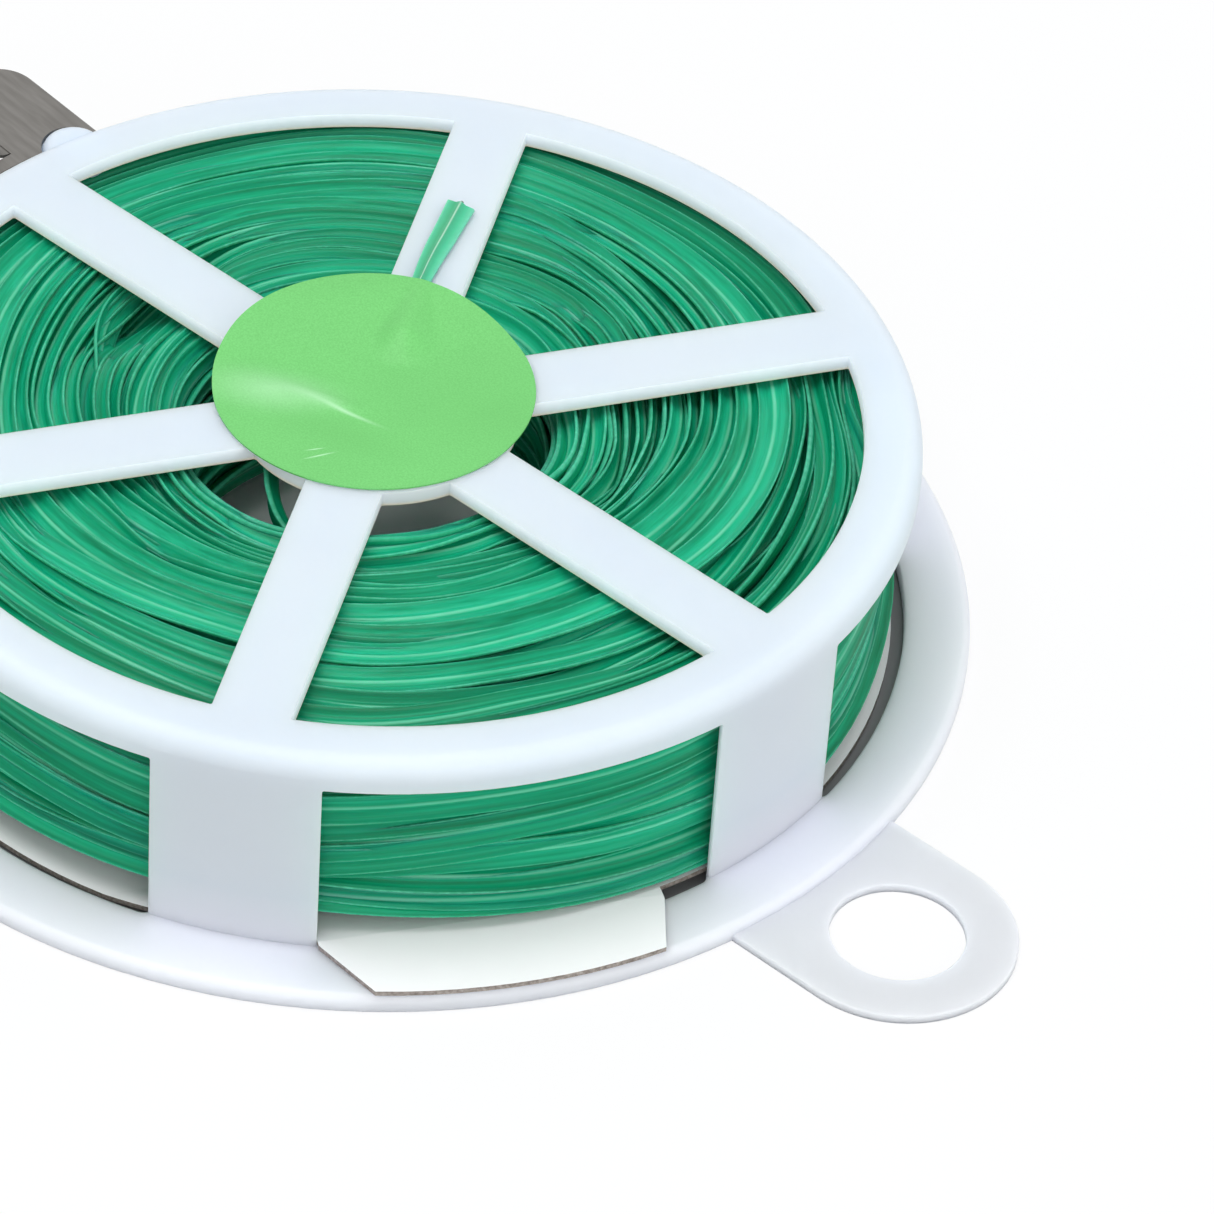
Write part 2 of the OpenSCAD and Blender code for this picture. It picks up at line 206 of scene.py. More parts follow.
def rounded_sheet(name, outer, holes, low, high, round_low, round_high, steps=3):
    """A flat sheet between two heights, cut to an outline with holes, its edges rounded."""
    loops = [(np.array(outer, float), 1.0)] + [(np.array(h, float), -1.0) for h in holes]
    points, faces, rims = [], [], []
    for loop, sign in loops:
        normals = loop_normals(loop) * sign
        n = len(loop)
        rows = []
        for t in np.linspace(0, 90, steps + 1):
            inset = round_low * (1 - math.sin(math.radians(t)))
            rows.append((inset, low + round_low * (1 - math.cos(math.radians(t)))))
        for t in np.linspace(0, 90, steps + 1):
            inset = round_high * (1 - math.cos(math.radians(t)))
            rows.append((inset, high - round_high * (1 - math.sin(math.radians(t)))))
        start = len(points)
        for inset, z in rows:
            for p, m in zip(loop, normals):
                points.append((p[0] - m[0] * inset, p[1] - m[1] * inset, z))
        for i in range(len(rows) - 1):
            faces += band(start + i * n, start + (i + 1) * n, n)
        rims.append((start, start + (len(rows) - 1) * n, n))
    work = bmesh.new()
    vertices = [work.verts.new(p) for p in points]
    for face in faces:
        work.faces.new([vertices[i] for i in face])
    for side in (0, 1):
        edges = []
        for rim in rims:
            start, n = rim[side], rim[2]
            for k in range(n):
                pair = (vertices[start + k], vertices[start + (k + 1) % n])
                edges.append(work.edges.get(pair))
        bmesh.ops.triangle_fill(work, edges=edges, use_beauty=True, use_dissolve=False)
    bmesh.ops.recalc_face_normals(work, faces=work.faces)
    mesh = bpy.data.meshes.new(name)
    work.to_mesh(mesh)
    work.free()
    return link(name, mesh)


def dress(piece, material):
    """Gives the piece one material."""
    piece.data.materials.clear()
    piece.data.materials.append(material)


def rise(value, start, width):
    """0 up to the start, then up to 1 over the width."""
    return np.clip((value - start) / width, 0, 1)


def drop(value, end, width):
    """1 at first, then down to 0 over the width before the end."""
    return np.clip((end - value) / width, 0, 1)


def angle_from(degrees, centre):
    """The angle from a centre, between -180 and 180."""
    return (degrees - centre + 180) % 360 - 180


def bell(value, width):
    """1 at 0, and near 0 at twice the width."""
    return np.exp(-((value / width) ** 2))


def unite(target, others):
    """Joins the other solids to the target and deletes them."""
    for other in others:
        modifier = target.modifiers.new("unite", "BOOLEAN")
        modifier.operation = "UNION"
        modifier.solver = "MANIFOLD"
        modifier.object = other
        apply_modifiers(target)
        bpy.data.objects.remove(other)


# ---------------------------------------------------------------- materials
class Nodes:
    """A node tree, with short calls that add nodes to it."""

    def __init__(self, tree):
        self.tree = tree
        tree.nodes.clear()

    def node(self, kind, inputs=(), **settings):
        """A node: each input is linked to an output or set to a value."""
        made = self.tree.nodes.new(kind)
        for name, value in settings.items():
            setattr(made, name, value)
        for socket, value in dict(inputs).items():
            if hasattr(value, "is_output"):
                self.tree.links.new(value, made.inputs[socket])
            else:
                made.inputs[socket].default_value = value
        return made

    def place(self, scale=(1, 1, 1)):
        at = self.node("ShaderNodeTexCoord").outputs["Object"]
        return self.node("ShaderNodeMapping", {"Vector": at, "Scale": scale}).outputs[0]

    def noise(self, scale, detail, stretch=(1, 1, 1)):
        inputs = {"Vector": self.place(stretch), "Scale": scale, "Detail": detail}
        return self.node("ShaderNodeTexNoise", inputs).outputs[0]

    def ramp(self, value, stops):
        made = self.node("ShaderNodeValToRGB", {"Fac": value})
        elements = made.color_ramp.elements
        while len(elements) < len(stops):
            elements.new(0.5)
        for element, (position, colour) in zip(elements, stops):
            element.position = position
            element.color = (*colour, 1)
        return made.outputs[0]

    def mix(self, factor, a, b, blend="MIX"):
        made = self.node("ShaderNodeMix", {0: factor, 6: a, 7: b}, data_type="RGBA", blend_type=blend)
        return made.outputs[2]

    def maths(self, operation, *values, clamp=False):
        inputs = dict(enumerate(values))
        return self.node("ShaderNodeMath", inputs, operation=operation, use_clamp=clamp).outputs[0]

    def length(self, vector):
        return self.node("ShaderNodeVectorMath", {0: vector}, operation="LENGTH").outputs["Value"]

    def part(self, vector, index):
        """The x, y or z of a vector, for an index of 0, 1 or 2."""
        return self.node("ShaderNodeSeparateXYZ", {"Vector": vector}).outputs[index]

    def upward(self):
        """How much the surface looks straight up or down, from 0 to 1."""
        normal = self.node("ShaderNodeNewGeometry").outputs["Normal"]
        return self.maths("ABSOLUTE", self.part(normal, 2))

    def attribute(self, name):
        return self.node("ShaderNodeAttribute", attribute_name=name).outputs["Fac"]

    def seen(self):
        """1 for what the camera sees, by itself, in a reflection or through something clear."""
        path = self.node("ShaderNodeLightPath")
        either = self.maths("MAXIMUM", path.outputs["Is Camera Ray"], path.outputs["Is Glossy Ray"])
        return self.maths("MAXIMUM", either, path.outputs["Is Transmission Ray"])

    def mark(self, x, y, length, width, degrees):
        """A soft long mark seen from above, as a factor that falls from its middle to its rim. In mm."""
        local = self.node(
            "ShaderNodeMapping",
            {
                "Vector": self.place((1, 1, 0)),
                "Location": (x * MM, y * MM, 0),
                "Rotation": (0, 0, math.radians(degrees)),
                "Scale": (length / 2 * MM, width / 2 * MM, 1),
            },
            vector_type="TEXTURE",
        )
        away = self.length(local.outputs[0])
        return self.maths("SMOOTH_MAX", self.maths("SUBTRACT", 1.0, away), 0.0)


class Shader(Nodes):
    """A material with a Principled shader."""

    def __init__(self, name, **sockets):
        self.material = bpy.data.materials.new(name)
        self.material.use_nodes = True
        super().__init__(self.material.node_tree)
        inputs = {socket.replace("_", " "): value for socket, value in sockets.items()}
        self.main = self.node("ShaderNodeBsdfPrincipled", inputs)
        self.out = self.node("ShaderNodeOutputMaterial", {"Surface": self.main.outputs[0]})

    def feed(self, socket, value):
        self.tree.links.new(value, self.main.inputs[socket])

    def bump(self, height, strength, distance):
        inputs = {"Height": height, "Strength": strength, "Distance": distance}
        self.feed("Normal", self.node("ShaderNodeBump", inputs).outputs[0])


def grey(v):
    return (v, v, v)


def greys(*pairs):
    """Stops of a grey ramp, from pairs of a position and a value."""
    return [(position, grey(value)) for position, value in pairs]


def moulded_white():
    """Milky polypropylene: light spreads a few millimetres in it, and the cut sides of the windows also get
    a painted glow.
    The cage over the coil is given a bluer base colour than the flange and the lug, which lie on the white
    floor."""
    s = Shader(
        "moulded_white",
        Roughness=0.45,
        Subsurface_Weight=1.0,
        Subsurface_Radius=(1.0, 1.0, 1.0),
        Subsurface_Scale=0.004,
        IOR=1.49,
        Specular_IOR_Level=0.32,
    )
    # A bluer base colour above the flange's height, a more neutral one below it
    flow = s.noise(45, 2)
    flange_base = s.ramp(flow, [(0.3, (0.785, 0.81, 0.955)), (0.7, (0.815, 0.84, 0.985))])
    cage_base = s.ramp(flow, [(0.3, (0.67, 0.76, 0.92)), (0.7, (0.70, 0.79, 0.94))])
    height = s.part(s.place((1 / CASE_H,) * 3), 2)
    up = s.ramp(height, greys((FLANGE_T * 1.5 / CASE_H, 0), (FLANGE_T * 4 / CASE_H, 1)))
    s.feed("Base Color", s.mix(up, flange_base, cage_base))

    # Painted glow: the cut sides of the windows in the top plate are given emission, standing in for light
    # that enters the top and comes out there, warm at their foot for the green below and plain above
    inside = s.maths("LESS_THAN", s.length(s.place((1, 1, 0))), RING_IN_R + 0.3 * MM)
    in_plate = s.maths("GREATER_THAN", height, (TOP_Z - 0.05 * MM) / CASE_H)
    upright = s.maths("SUBTRACT", 1.0, s.upward(), clamp=True)
    # edge: the mask of the painted glow on the cut sides
    edge = s.maths("MULTIPLY", s.maths("MULTIPLY", inside, in_plate), upright)
    s.feed("Emission Strength", s.maths("MULTIPLY", edge, 0.19))
    foot, plain = (TOP_Z + 0.12 * MM) / CASE_H, (TOP_Z + 0.5 * MM) / CASE_H
    s.feed("Emission Color", s.ramp(height, [(foot, (1.9, 1.45, 0.95)), (plain, (1.0, 0.95, 0.97))]))
    s.bump(s.noise(1800, 2), 0.05, 0.00004)
    return s.material


def tie_green():
    """Soft green plastic, drawn out in fine streaks. Over the wire runs a pale line, partly the wire seen
    through and partly a painted highlight on the bead. Along each thin edge runs a painted highlight, with
    painted shade just inside it.
    """
    s = Shader(
        "tie_green",
        Roughness=0.31,
        IOR=1.48,
        Specular_IOR_Level=0.15,
        Subsurface_Weight=0.45,
        Subsurface_Radius=(0.2, 1.0, 0.6),
        Subsurface_Scale=0.0012,
    )
    across = s.attribute("across")
    run = s.attribute("run")
    strand = s.attribute("strand")
    side = s.maths("ABSOLUTE", across)

    def along_strand(per_metre, over_width, detail):
        parts = {
            "X": s.maths("MULTIPLY", run, per_metre),
            "Y": s.maths("MULTIPLY", across, over_width),
            "Z": s.maths("MULTIPLY", strand, 60),
        }
        where = s.node("ShaderNodeCombineXYZ", parts).outputs[0]
        return s.node("ShaderNodeTexNoise", {"Vector": where, "Scale": 1, "Detail": detail}).outputs[0]

    streak = along_strand(22, 4.5, 3)
    patch = along_strand(60, 0.6, 2)
    fleck = along_strand(1400, 1, 2)
    tones = [(0.0, (0.001, 0.245, 0.11)), (0.5, (0.004, 0.355, 0.176)), (1.0, (0.012, 0.46, 0.245))]
    tone = s.maths("ADD", strand, s.maths("MULTIPLY", s.maths("SUBTRACT", streak, 0.5), 2.0))
    # Painted shade: the body darkens towards both edges, where the turns tuck under each other
    painted_edge_shade = s.ramp(side, greys((0, 1), (0.5, 1), (0.85, 0.74), (1, 0.74)))
    body = s.mix(1.0, s.ramp(tone, tones), painted_edge_shade, "MULTIPLY")
    # A pale line over the wire: partly the wire seen through the plastic, partly a painted highlight on the
    # bead
    wire = s.ramp(side, greys((0, 1), (0.06, 0.8), (0.15, 0), (1, 0)))
    wire = s.maths("MULTIPLY", wire, s.ramp(patch, greys((0.3, 0.35), (0.7, 0.95))))
    body_and_wire_highlight = s.mix(wire, body, (0.17, 0.62, 0.4, 1))
    # Painted highlight: a thin pale line along each edge, as if the edge catches the light
    edge = s.ramp(side, greys((0, 0), (0.87, 0), (0.94, 1)))
    edge = s.maths("MULTIPLY", edge, s.ramp(fleck, greys((0.4, 0.55), (0.7, 1))))
    edge = s.maths("MULTIPLY", edge, s.ramp(patch, greys((0.35, 0.25), (0.7, 0.9))))
    s.feed("Base Color", s.mix(edge, body_and_wire_highlight, (0.12, 0.58, 0.38, 1)))
    s.bump(streak, 0.25, 0.00012)
    return s.material


def tie_end_green():
    """The loose end, with white under it: its wings are painted lighter towards their edges for the light
    that comes up through them.
    """
    s = Shader(
        "tie_end_green",
        Roughness=0.35,
        Subsurface_Weight=0.6,
        Subsurface_Radius=(0.3, 1.0, 0.7),
        Subsurface_Scale=0.0008,
    )
    # Painted light: the wings lighten towards their edges, where light comes up through them; pale over the
    # wire in the middle
    wings_with_painted_glow = [
        (0.0, (0.22, 0.75, 0.5)),
        (0.1, (0.075, 0.56, 0.31)),
        (0.3, (0.022, 0.45, 0.2)),
        (0.45, (0.03, 0.42, 0.2)),
        (0.5, (0.45, 0.68, 0.52)),
        (0.55, (0.03, 0.42, 0.22)),
        (0.75, (0.05, 0.54, 0.29)),
        (1.0, (0.14, 0.62, 0.4)),
    ]
    place = s.maths("MULTIPLY_ADD", s.attribute("across"), 0.5, 0.5)
    fine = s.ramp(s.noise(900, 3), greys((0.3, 0.93), (0.7, 1)))
    s.feed("Base Color", s.mix(1.0, s.ramp(place, wings_with_painted_glow), fine, "MULTIPLY"))
    s.bump(s.noise(700, 3), 0.1, 0.0001)
    return s.material


def coated_board():
    """White-faced greyboard: the face is smooth and off-white, the cut edge is brown-grey fibre."""
    s = Shader("coated_board", Roughness=0.6, Specular_IOR_Level=0.3)
    face = s.ramp(s.upward(), greys((0.4, 0), (0.6, 1)))
    fibre = s.ramp(s.noise(2600, 4), [(0.3, (0.16, 0.13, 0.11)), (0.7, (0.42, 0.37, 0.33))])
    paper = s.ramp(s.noise(300, 4), [(0.3, (0.96, 0.945, 0.95)), (0.7, (0.98, 0.965, 0.97))])
    s.feed("Base Color", s.mix(face, fibre, paper))
    s.bump(s.noise(1500, 4), 0.1, 0.00008)
    return s.material


def green_sticker():
    """Bright green paper sticker: fine grain, broad patches of painted shade, painted highlights along the
    creases and two pale scratches.
    """
    # Painted shade: broad darker patches on the paper. x, y, length, width, angle in degrees, share
    shade_patches = [
        (1.5, -6.5, 17, 6, 18, 0.35),
        (9, 6, 24, 16, 50, 0.3),
    ]
    # Painted highlights along the creases, then two pale scratches. x, y, length, width, angle in degrees,
    # share
    crease_highlights_and_scratches = [
        (-8.3, -6.6, 15, 7, 35, 0.45),
        (-4.6, -4.4, 9, 2.2, 17, 0.4),
        (-0.9, -3.7, 9, 0.7, 13, 0.75),
        (1.1, -10.1, 2.2, 0.22, 58, 1.0),
        (2.1, -10.5, 3.8, 0.28, 65, 1.0),
    ]
    s = Shader("green_sticker", Roughness=0.5, Specular_IOR_Level=0.35)
    speckle = s.noise(5200, 3)
    fine = s.ramp(speckle, [(0.35, (0.148, 0.53, 0.14)), (0.65, (0.185, 0.605, 0.178))])
    wide = s.ramp(s.noise(90, 2), greys((0.3, 0.94), (0.7, 1)))
    paper = s.mix(1.0, fine, wide, "MULTIPLY")
    for marks, colour in ((shade_patches, (0.13, 0.47, 0.12, 1)), (crease_highlights_and_scratches, (0.5, 0.86, 0.52, 1))):
        for *mark, share in marks:
            paper = s.mix(s.maths("MULTIPLY", s.mark(*mark), share, clamp=True), paper, colour)
    s.feed("Base Color", paper)
    s.bump(speckle, 0.1, 0.00006)
    return s.material


def rolled_steel():
    """Plain rolled sheet: fine lines along the roll and a grey satin face."""
    s = Shader("rolled_steel", Metallic=1.0, Roughness=0.42)
    lines = s.noise(500, 3, (0.15, 3, 3))
    s.feed("Base Color", s.ramp(lines, [(0.3, (0.18, 0.173, 0.162)), (0.7, (0.23, 0.222, 0.21))]))
    s.bump(lines, 0.1, 0.00005)
    return s.material


WHITE = moulded_white()
GREEN = tie_green()
BRIGHT_GREEN = tie_end_green()
BOARD = coated_board()
STICKER = green_sticker()
STEEL = rolled_steel()


# ---------------------------------------------------------------- case
def post_sides():
    """Half angles that a post spans on the wall's outer and inner faces: its sides are parallel to
    the middle of the window beside it."""
    outer = math.degrees(math.asin(POST_HALF_W / WALL_R))
    window_half_w = WALL_R * math.sin(math.radians(SPOKE_STEP / 2 - outer))
    inner = SPOKE_STEP / 2 - math.degrees(math.asin(window_half_w / WALL_IN_R))
    return outer, inner


POST_OUT, POST_IN = post_sides()


def cage():
    """The ring, spokes, hub and posts as one shell: an outer and an inner sheet of like faces, joined
    along their borders. Each sheet has rows of points round the ring and down the wall, then the
    spokes' points, the hub's rings and the hub's centre."""
    spoke_deg = math.degrees(math.asin(SPOKE_W / 2 / RING_IN_R))
    across = np.linspace(-spoke_deg, spoke_deg, 5)
    wide = len(across)
    window_cuts = 20
    window_deg = SPOKE_STEP - 2 * POST_OUT
    window = POST_OUT + np.arange(1, window_cuts + 1) * window_deg / window_cuts
    middle = (spoke_deg + POST_OUT) / 2
    station = [*across, middle, POST_OUT, *window, SPOKE_STEP - middle]
    stations = [(i * SPOKE_STEP + a, a) for i in range(SPOKES) for a in station]
    per = len(station)
    n = len(stations)
    post_start, post_end = -2, wide + 1

    arc_steps = 8
    seam_r = RING_IN_R + 2 * MM
    outer_rows = [(RING_IN_R, CASE_H), (seam_r, CASE_H)]
    outer_rows += arc(WALL_R - EDGE_ROUND, CASE_H - EDGE_ROUND, EDGE_ROUND, 90, 0, arc_steps)
    inner_rows = [(RING_IN_R, TOP_Z), (seam_r, TOP_Z)]
    inner_rows += arc(WALL_IN_R - INNER_FILLET, TOP_Z - INNER_FILLET, INNER_FILLET, 90, 0, arc_steps)
    rows = len(outer_rows)
    post_foot = 1 * MM

    spoke_cuts = 8
    ys = [RING_IN_R * math.sin(math.radians(a)) for a in across]
    at_spoke = [math.degrees(math.asin(y / HUB_R)) for y in ys]
    between = np.linspace(at_spoke[-1], SPOKE_STEP - at_spoke[-1], 8)[1:-1]
    betweens = len(between)

    def sheet(rim, wall, plate_z, shift):
        points = []
        for r, z in rim:
            points += [polar(r, a, z) for a, _ in stations]
        for z in (SKIRT_Z, post_foot):
            for a, local in stations:
                if abs(local - POST_OUT) < 1e-6:
                    a -= shift
                if abs(local - (SPOKE_STEP - POST_OUT)) < 1e-6:
                    a += shift
                points.append(polar(wall, a, z))
        for i in range(SPOKES):
            turn = Matrix.Rotation(math.radians(i * SPOKE_STEP), 3, "Z")
            for k in range(spoke_cuts):
                for y in ys:
                    x0 = math.sqrt(HUB_R**2 - y**2)
                    x1 = math.sqrt(RING_IN_R**2 - y**2)
                    x = x0 + (x1 - x0) * k / spoke_cuts
                    points.append(turn @ Vector((x, y, plate_z)))
        for i in range(SPOKES):
            points += [polar(HUB_R, i * SPOKE_STEP + a, plate_z) for a in between]
        for share in (0.6, 0.25):
            for i in range(SPOKES):
                points += [polar(HUB_R * share, i * SPOKE_STEP + a, plate_z) for a in (*at_spoke, *between)]
        points.append((0, 0, plate_z))
        return points

    faces = []
    for i in range(rows):
        for k in range(n):
            m = (k + 1) % n
            faces.append((i * n + k, (i + 1) * n + k, (i + 1) * n + m, i * n + m))
    for i in range(SPOKES):
        for j in range(post_start, post_end):
            k, m = (i * per + j) % n, (i * per + j + 1) % n
            faces.append((rows * n + k, (rows + 1) * n + k, (rows + 1) * n + m, rows * n + m))
    spoke_start = (rows + 2) * n
    for i in range(SPOKES):
        base = spoke_start + i * spoke_cuts * wide
        for k in range(spoke_cuts):
            for j in range(wide - 1):
                a = base + k * wide + j
                if k < spoke_cuts - 1:
                    faces.append((a, a + wide, a + wide + 1, a + 1))
                else:
                    faces.append((a, i * per + j, i * per + j + 1, a + 1))
    between_start = spoke_start + SPOKES * spoke_cuts * wide
    hub_loop = []
    for i in range(SPOKES):
        hub_loop += [spoke_start + i * spoke_cuts * wide + j for j in range(wide)]
        hub_loop += [between_start + i * betweens + j for j in range(betweens)]
    h = len(hub_loop)
    loop_1 = [between_start + SPOKES * betweens + k for k in range(h)]
    loop_2 = [loop_1[-1] + 1 + k for k in range(h)]
    centre = loop_2[-1] + 1
    for k in range(h):
        m = (k + 1) % h
        faces.append((hub_loop[k], hub_loop[m], loop_1[m], loop_1[k]))
        faces.append((loop_1[k], loop_1[m], loop_2[m], loop_2[k]))
        faces.append((loop_2[k], loop_2[m], centre))

    points = sheet(outer_rows, WALL_R, CASE_H, 0)
    count = len(points)
    points += sheet(inner_rows, WALL_IN_R, TOP_Z, POST_OUT - POST_IN)
    edges = {(a, b) for face in faces for a, b in zip(face, (*face[1:], face[0]))}
    border = [(a, b) for face in faces for a, b in zip(face, (*face[1:], face[0])) if (b, a) not in edges]
    every = list(faces)
    every += [tuple(i + count for i in reversed(f)) for f in faces]
    every += [(b, a, a + count, b + count) for a, b in border]
    used = sorted({i for f in every for i in f})
    index = {old: new for new, old in enumerate(used)}
    mesh = mesh_from("cage", [points[i] for i in used], [[index[i] for i in f] for f in every])
    piece = link("cage", mesh)
    face_outwards(piece)
    bevel(piece, PLASTIC_EDGE, 2, 60)
    return piece


def flange():
    """The base flange: its inner edge steps in at each post, with a fillet in the corner."""
    fillet = WALL_T
    seam = 0.02 * MM
    corner = []
    for t in np.linspace(0, 90, 6):
        s = fillet * (1 - math.cos(math.radians(t)))
        r = WALL_R - fillet + fillet * math.sin(math.radians(t))
        lean = (POST_OUT - POST_IN) * (WALL_R - r) / WALL_T
        corner.append((POST_OUT - lean + math.degrees(s / WALL_R), max(r, WALL_IN_R + seam)))
    first, last = corner[0][0], corner[-1][0]
    window = [(a, WALL_R) for a in np.linspace(last, SPOKE_STEP - last, 22)[1:-1]]
    post = [(a, WALL_IN_R + seam) for a in np.linspace(-first, first, 7)[1:-1]]
    mirrored = [(SPOKE_STEP - a, r) for a, r in reversed(corner)]
    sector = post + corner + window + mirrored
    edge = 0.25 * MM
    rim_high, rim_low = 0.9 * MM, 0.4 * MM
    points, per = [], 0
    for i in range(SPOKES):
        for a, r_in in sector:
            profile = [(r_in, FLANGE_T - edge), (r_in + 0.3 * edge, FLANGE_T - 0.3 * edge)]
            profile += [(r_in + edge, FLANGE_T), (UNDER_POSTS_R, FLANGE_T)]
            profile += arc(FLANGE_R - rim_high, FLANGE_T - rim_high, rim_high, 90, 0, 6)
            profile += arc(FLANGE_R - rim_low, rim_low, rim_low, 0, -90, 4)
            profile += [(UNDER_POSTS_R, 0), (r_in + edge, 0), (r_in, edge)]
            points += [polar(r, i * SPOKE_STEP + a, z) for r, z in profile]
            per = len(profile)
    n = SPOKES * len(sector)
    faces = []
    for k in range(n):
        m = (k + 1) % n
        for j in range(per):
            q = (j + 1) % per
            faces.append((k * per + j, m * per + j, m * per + q, k * per + q))
    piece = link("flange", mesh_from("flange", points, faces))
    face_outwards(piece)
    return piece


def lug():
    """The hanging lug: its root lies inside the flange."""
    half = np.radians(np.linspace(-90, 90, 37))
    outline = [(LUG_X + LUG_R * math.cos(a), LUG_R * math.sin(a)) for a in half]
    neck = LUG_X - 4 * MM
    outline += [(neck, LUG_R), (UNDER_POSTS_R, LUG_R), (UNDER_POSTS_R, -LUG_R), (neck, -LUG_R)]
    around = np.radians(np.arange(0, 360, 5))
    hole = [(LUG_X + LUG_HOLE_R * math.cos(a), LUG_HOLE_R * math.sin(a)) for a in around]
    return rounded_sheet("lug", outline, [hole], 0, LUG_T, 0.12 * MM, 0.18 * MM)


def boss(side):
    """A boss for the cutter plate: a column with a ledge under the plate and a rounded head over it."""
    head_r = 3.3 * MM
    ledge_r = 4.2 * MM
    crown = 1.5 * MM
    top = boss_high.z
    under_plate = top - 1.55 * MM
    foot = FLANGE_T - 0.3 * MM
    profile = [(0, foot), (ledge_r, foot), (ledge_r, under_plate), (head_r, under_plate + 0.02 * MM)]
    profile += arc(head_r - crown, top - crown, crown, 0, 90, 6)
    profile += [(0, top)]
    return revolve(f"boss_{side}", profile, 64, (BOSS_AT[0], side * BOSS_AT[1]))


def white_case():
    """The moulding: all its members joined into one."""
    piece = cage()
    unite(piece, [flange(), lug(), boss(1), boss(-1)])
    piece.name = "moulded_case"
    dress(piece, WHITE)
    smooth(piece, 32)
    weighted = piece.modifiers.new("even_shading", "WEIGHTED_NORMAL")
    weighted.keep_sharp = True
    members = ["top_ring", "hub_disc", "base_flange", "hanging_lug", "cutter_boss_1", "cutter_boss_2"]
    members += [f"spoke_{i}" for i in range(1, SPOKES + 1)]
    members += [f"post_{i}" for i in range(1, SPOKES + 1)]
    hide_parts(*members)
    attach(piece, "case")


# ---------------------------------------------------------------- tie
def tie_section(droop):
    """The tie's outline across its width: two thin wings, whose edges droop, and a bead over the wire."""
    half = TIE_W / 2
    wing = 0.22 * MM
    bead = 0.52 * MM
    top = [(-half, 0), (-0.94 * half, wing), (-0.66 * half, 0.95 * wing), (-0.36 * half, 0.9 * wing)]
    top += [(-0.22 * half, 0.65 * bead), (0, bead)]
    top += [(-u, v) for u, v in reversed(top[:-1])]
    under = [(u, -v) for u, v in reversed(top[1:-1])]
    return np.array([(u, v - droop * (u / half) ** 2) for u, v in top + under])


SECTION = tie_section(0.72 * MM)
FLAT_SECTION = tie_section(-0.12 * MM)


def add_attribute(mesh, name, values):
    """Numbers on the points of a mesh, which a material reads by their name."""
    layer = mesh.attributes.new(name, "FLOAT", "POINT")
    layer.data.foreach_set("value", np.asarray(values, np.float32))


def sweep(name, centres, across, material, strand, spread=1.0, section=SECTION):
    """A tie along a line of points. across holds the direction of its width at each point, strand its
    shade, and spread how much wider than usual it is there."""
    along = np.gradient(centres, axis=0)
    along /= np.linalg.norm(along, axis=1)[:, None]
    across = across - (across * along).sum(1)[:, None] * along
    across /= np.linalg.norm(across, axis=1)[:, None]
    normal = np.cross(along, across)
    n, m = len(centres), len(section)
    points = (
        centres[:, None, :]
        + section[None, :, 0, None] * across[:, None, :] * np.broadcast_to(spread, n)[:, None, None]
        + section[None, :, 1, None] * normal[:, None, :]
    ).reshape(-1, 3)
    k = np.arange(n - 1)[:, None] * m
    j = np.arange(m)[None, :]
    q = (j + 1) % m
    faces = np.stack([k + j, k + q, k + m + q, k + m + j], axis=2).reshape(-1, 4).tolist()
    faces.append(list(range(m))[::-1])
    faces.append(list(range((n - 1) * m, n * m)))
    mesh = bpy.data.meshes.new(name)
    mesh.from_pydata(points.tolist(), [], faces)
    mesh.shade_smooth()
    piece = link(name, mesh)
    step = np.linalg.norm(np.diff(centres, axis=0), axis=1)
    run = np.concatenate([[0], np.cumsum(step)])
    add_attribute(mesh, "across", np.tile(section[:, 0] / (TIE_W / 2), n))
    add_attribute(mesh, "strand", np.repeat(np.broadcast_to(strand, n), m))
    add_attribute(mesh, "run", np.repeat(run, m))
    dress(piece, material)
    return piece


# The section that the layers follow: rounded at the eye and at the outer shoulder. The outermost layer
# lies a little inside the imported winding, and somewhat more than half a tie's width over its foot
EYE_ROUND = 3.4 * MM
SHOULDER = 1.3 * MM
SKIN = 0.5 * MM
EYE_SKIN = 0.6 * MM
LOWEST = COIL_LOW + 1.9 * MM
# Each layer lies deeper than the one over it, and its turns lie farther apart by a share
LAYERS = 3
LAYER_DEPTH = 1.15 * MM
LAYER_LOOSER = 0.25
# How far the loops at a radius lie off the axis, and the way they lie: most are pushed to the back left
LOOP_R = np.array([14, 19, 23.5, 25.6, 27.7, 29.8, 31.8, 34.5, 38, 41.4, 46, 49, 55]) * MM
LOOP_OFFSET = np.array([2.0, 2.3, 2.6, 3.0, 4.2, 5.1, 5.7, 6.0, 5.0, 4.4, 2.4, 1.0, 0.2]) * MM
LOOP_RAD = math.radians(142)
# How much more or less the turns on top lean, round the coil: flattest at the back, steepest at the right
LEAN_DEG = np.array([-180, -150, -90, -30, 42, 90, 150, 180])
LEAN_SHARE = np.array([0.9, 1.0, 1.6, 1.1, 2.3, 1.0, 0.8, 0.9])
# The side towards which the turns on top have fallen, there and across from it, and how many of them
FALL_RAD = math.radians(-50)
FALLEN = 0.85
# Twice round the coil, the turns on the side draw apart above and below a height and close up again
SWAY = 2.4 * MM
SWAY_RAD = math.radians(28)
SWAY_Z = 12 * MM
# The lowest turns on the side lie close to the wall: this share closer, up to this height
FOOT_SHARE = 0.85
FOOT_Z = 8.5 * MM
# Slow waves of a turn: so many, with 1, 2, 3... periods in a round
WAVES = 7
WAVE_NUMBERS = np.arange(1, WAVES + 1)
# How turns lie: the share that leans back, how much steeper they lean, their widest pitch, and how deep
# they and the first turn of a bunch sink, in mm
ON_SIDE = (0.65, 1.4, 2.1 * MM, 0.4, 1.0)
ON_TOP = (0.55, 1.0, math.inf, 0.14, 0.3)
